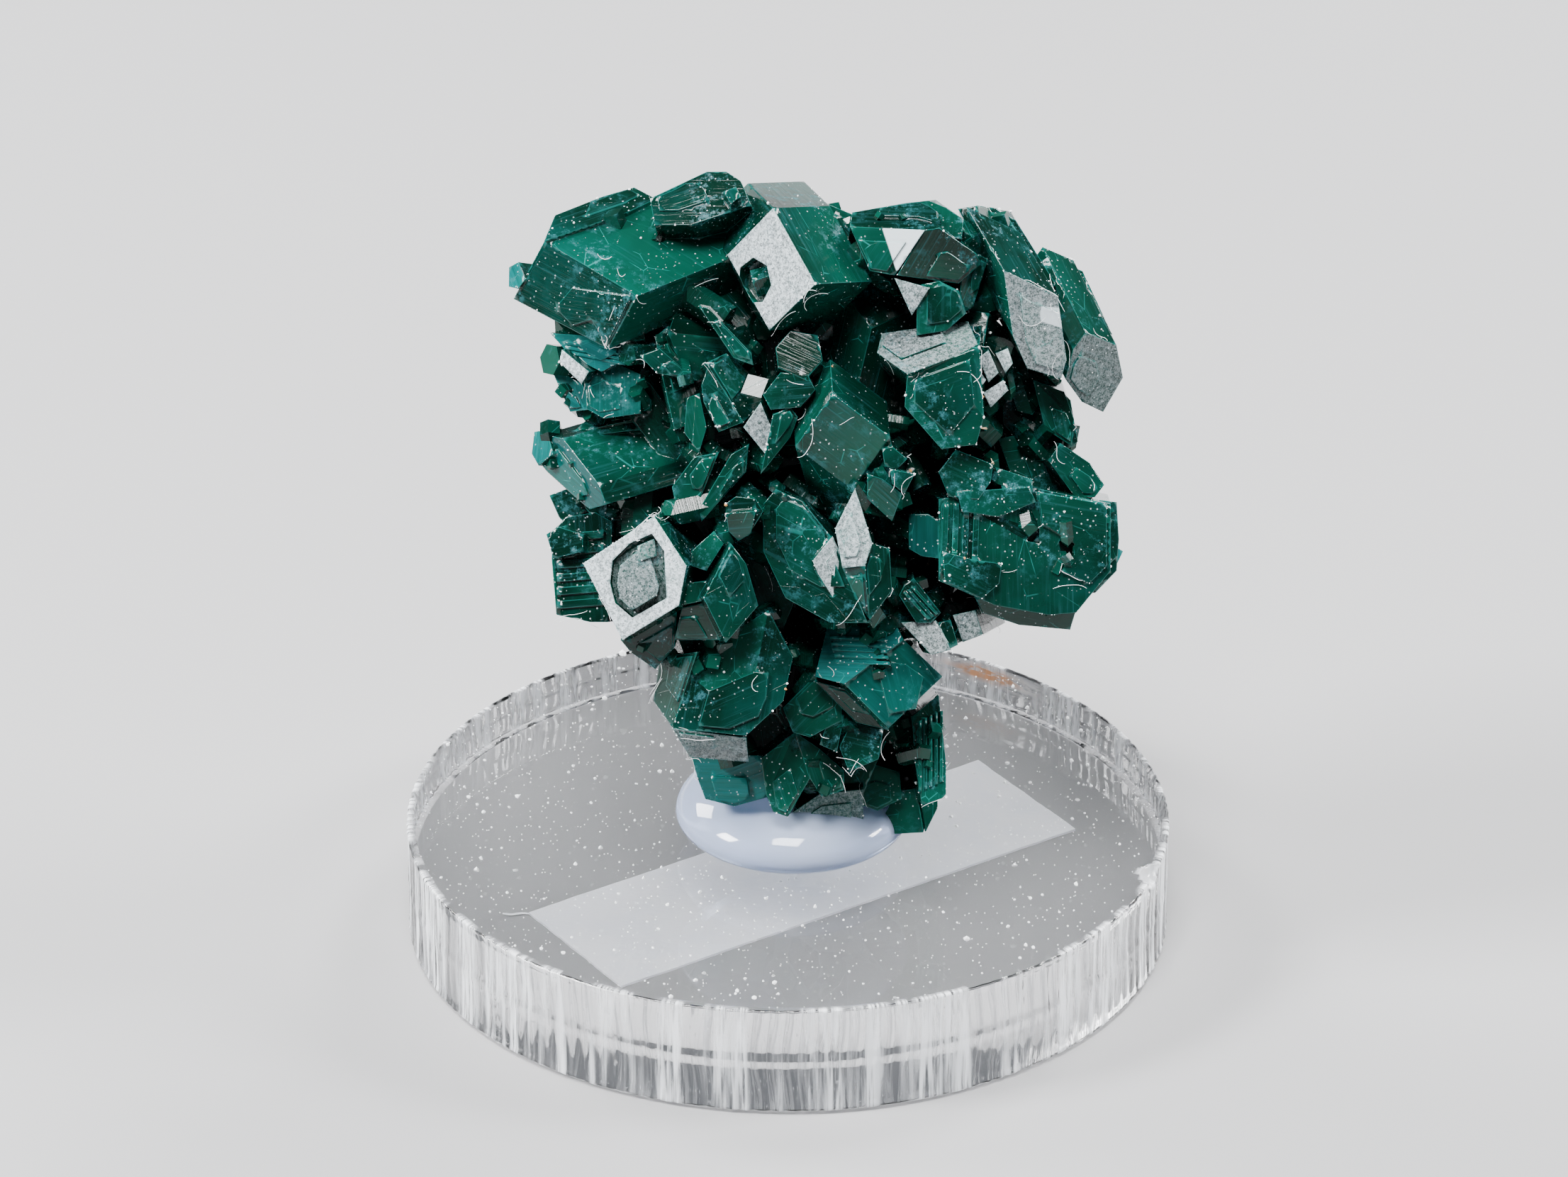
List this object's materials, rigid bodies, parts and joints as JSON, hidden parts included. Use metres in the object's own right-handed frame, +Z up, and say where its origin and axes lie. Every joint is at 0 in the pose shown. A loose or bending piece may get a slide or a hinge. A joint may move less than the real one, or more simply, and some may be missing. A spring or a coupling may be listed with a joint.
{
  "type": "dioptase",
  "caption": "Cluster of intergrown dark green dioptase crystals pressed into a drop of mounting gel on a clear round acrylic base, with a paper label under it.",
  "frame": {"origin": "centre of the round base on the plane it rests on", "axes": "+Z up, the face shown in the picture looks towards -Y, +X to its right"},
  "size_m": [0.032, 0.032, 0.0334],
  "materials": {
    "dioptase": "glassy, dark emerald green",
    "gel": "glossy, milky",
    "acrylic": "polished, clear, laser-cut edge",
    "paper": "matt white paper"
  },
  "bodies": {
    "root": {"dioptase_cluster": "dioptase", "mounting_gel": "gel", "acrylic_base": "acrylic", "paper_label": "paper"}
  },
  "joints": []
}
